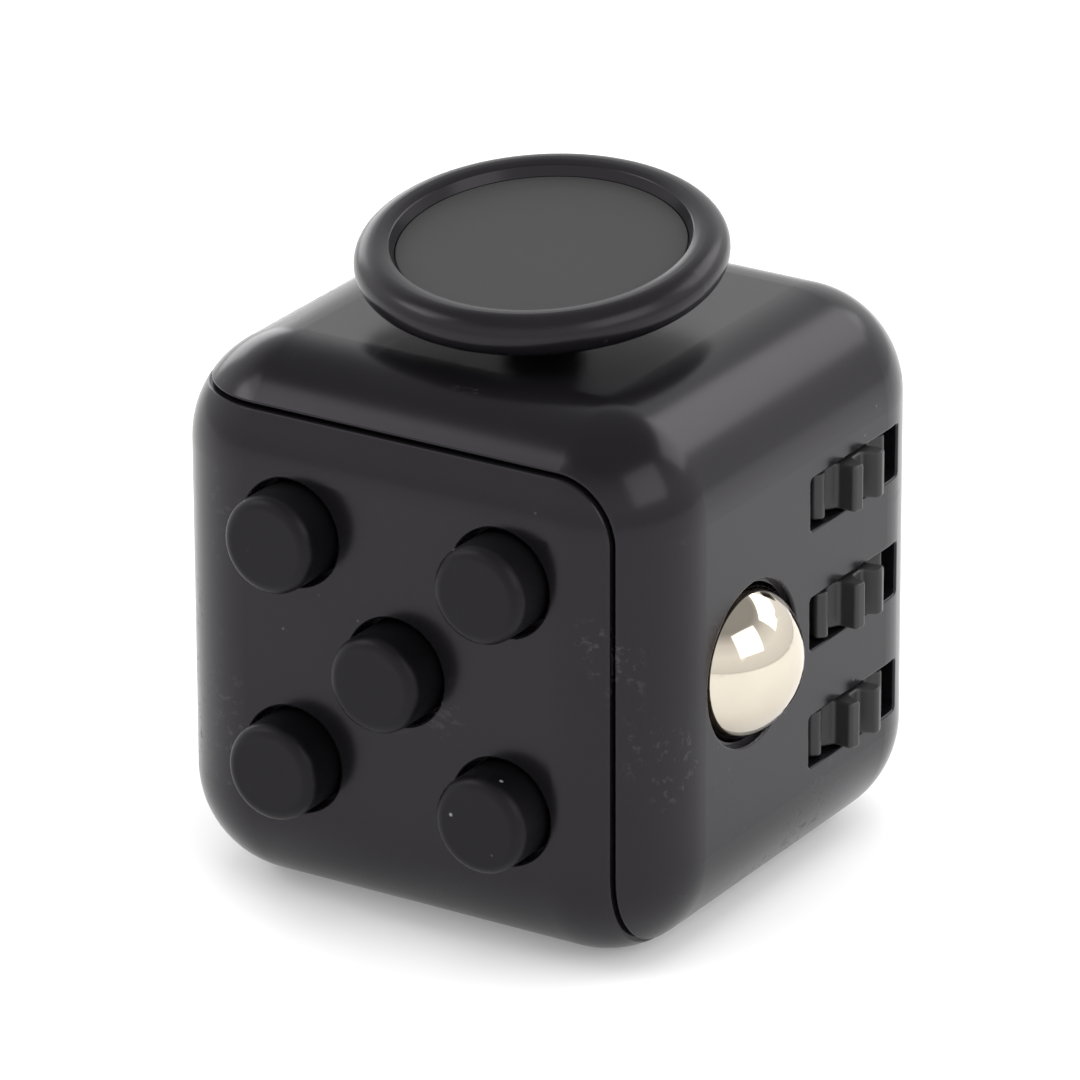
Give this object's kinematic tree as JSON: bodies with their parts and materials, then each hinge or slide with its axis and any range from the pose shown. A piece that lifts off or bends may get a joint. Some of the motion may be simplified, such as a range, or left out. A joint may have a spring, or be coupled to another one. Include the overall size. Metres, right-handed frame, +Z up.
{
  "type": "fidget cube",
  "caption": "Palm-sized rounded cube that keeps the fingers busy: press buttons, a tilting joystick, a rolling ball, thumb gears, a spinning dial, a rocker switch and a thumb rest.",
  "frame": {"origin": "centre of the bottom (thumb rest) face of the body", "axes": "+Z up towards the joystick face, -Y the face with the buttons, +X the face with the ball and gears, -X the dial, +Y the rocker switch"},
  "size_m": [0.0384, 0.0382, 0.0392],
  "materials": {
    "shell_plastic": "satin gloss moulded black",
    "button_plastic": "fine matte black",
    "joystick_plastic": "satin black",
    "inlay_pad": "matte dark grey",
    "gear_plastic": "satin black",
    "dial_plastic": "satin black",
    "rocker_plastic": "satin black",
    "polished_steel": "mirror polished",
    "inner_plastic": "matte dark grey",
    "steel_pin": "ground",
    "spring_steel": "drawn",
    "zinc_screw": "zinc plated",
    "dome_rubber": "matte grey"
  },
  "bodies": {
    "casing": {"front_shell": "shell_plastic", "rear_shell": "shell_plastic", "button_plate": "inner_plastic", "button_plate_screws": "zinc_screw", "joystick_housing": "inner_plastic", "joystick_retainer": "inner_plastic", "joystick_screws": "zinc_screw", "ball_guide": "inner_plastic", "ball_spring": "spring_steel", "gear_axle": "steel_pin", "gear_spacers": "inner_plastic", "gear_bracket": "inner_plastic", "gear_bracket_screws": "zinc_screw", "gear_detent_comb": "spring_steel", "dial_detent_guide": "inner_plastic", "dial_detent_pin": "steel_pin", "dial_detent_spring": "spring_steel", "rocker_pin": "steel_pin", "rocker_cradle": "inner_plastic", "rocker_screws": "zinc_screw", "button_dome_1": "dome_rubber", "button_dome_2": "dome_rubber", "button_dome_3": "dome_rubber", "button_dome_4": "dome_rubber", "button_dome_5": "dome_rubber"},
    "button_1": {"button_1": "button_plastic"},
    "button_2": {"button_2": "button_plastic"},
    "button_3": {"button_3": "button_plastic"},
    "button_4": {"button_4": "button_plastic"},
    "button_5": {"button_5": "button_plastic"},
    "gimbal": {"gimbal_ring": "inner_plastic", "gimbal_pin": "steel_pin"},
    "joystick": {"joystick": "joystick_plastic", "joystick_inlay": "inlay_pad"},
    "ball_carrier": {"ball_carrier": "inner_plastic"},
    "ball": {"ball": "polished_steel"},
    "gear_top": {"gear_top": "gear_plastic"},
    "gear_middle": {"gear_middle": "gear_plastic"},
    "gear_bottom": {"gear_bottom": "gear_plastic"},
    "dial": {"dial": "dial_plastic", "dial_detent_wheel": "inner_plastic", "dial_screw": "zinc_screw"},
    "rocker": {"rocker": "rocker_plastic", "rocker_plunger": "inner_plastic", "rocker_spring": "spring_steel"}
  },
  "joints": [
    {"name": "button_1_press", "type": "slide", "parent": "casing", "child": "button_1", "axis": [0, 1, 0], "range_m": [0, 0.001], "stiffness_N_per_m": 600, "springref_m": -0.0005, "deforming": ["button_dome_1"]},
    {"name": "button_2_press", "type": "slide", "parent": "casing", "child": "button_2", "axis": [0, 1, 0], "range_m": [0, 0.001], "stiffness_N_per_m": 600, "springref_m": -0.0005, "deforming": ["button_dome_2"]},
    {"name": "button_3_press", "type": "slide", "parent": "casing", "child": "button_3", "axis": [0, 1, 0], "range_m": [0, 0.001], "stiffness_N_per_m": 600, "springref_m": -0.0005, "deforming": ["button_dome_3"]},
    {"name": "button_4_press", "type": "slide", "parent": "casing", "child": "button_4", "axis": [0, 1, 0], "range_m": [0, 0.001], "stiffness_N_per_m": 600, "springref_m": -0.0005, "deforming": ["button_dome_4"]},
    {"name": "button_5_press", "type": "slide", "parent": "casing", "child": "button_5", "axis": [0, 1, 0], "range_m": [0, 0.001], "stiffness_N_per_m": 600, "springref_m": -0.0005, "deforming": ["button_dome_5"]},
    {"name": "joystick_tilt_front_back", "type": "hinge", "parent": "casing", "child": "gimbal", "pos_m": [0, 0, 0.0295], "axis": [1, 0, 0], "range_deg": [-17.5, 1.5]},
    {"name": "joystick_tilt_side", "type": "hinge", "parent": "gimbal", "child": "joystick", "pos_m": [0, 0, 0.0295], "axis": [0, 0.9903, 0.1392], "range_deg": [-10.7, 8.3]},
    {"name": "ball_press", "type": "slide", "parent": "casing", "child": "ball_carrier", "axis": [-1, 0, 0], "range_m": [0, 0.0008], "stiffness_N_per_m": 900, "springref_m": -0.0005, "deforming": ["ball_spring"]},
    {"name": "ball_roll", "type": "hinge", "parent": "ball_carrier", "child": "ball", "pos_m": [0.0144, -0.005, 0.0165], "axis": [0, 0, 1], "continuous": true},
    {"name": "gear_top_spin", "type": "hinge", "parent": "casing", "child": "gear_top", "pos_m": [0.01245, 0.0064, 0.02383], "axis": [0, 0, 1], "continuous": true},
    {"name": "gear_middle_spin", "type": "hinge", "parent": "casing", "child": "gear_middle", "pos_m": [0.01245, 0.0064, 0.0165], "axis": [0, 0, 1], "continuous": true},
    {"name": "gear_bottom_spin", "type": "hinge", "parent": "casing", "child": "gear_bottom", "pos_m": [0.01245, 0.0064, 0.00917], "axis": [0, 0, 1], "continuous": true},
    {"name": "dial_spin", "type": "hinge", "parent": "casing", "child": "dial", "pos_m": [-0.0165, 0, 0.0165], "axis": [-1, 0, 0], "continuous": true},
    {"name": "rocker_flip", "type": "hinge", "parent": "casing", "child": "rocker", "pos_m": [0, 0.0136, 0.0165], "axis": [1, 0, 0], "range_deg": [0, 18]}
  ]
}
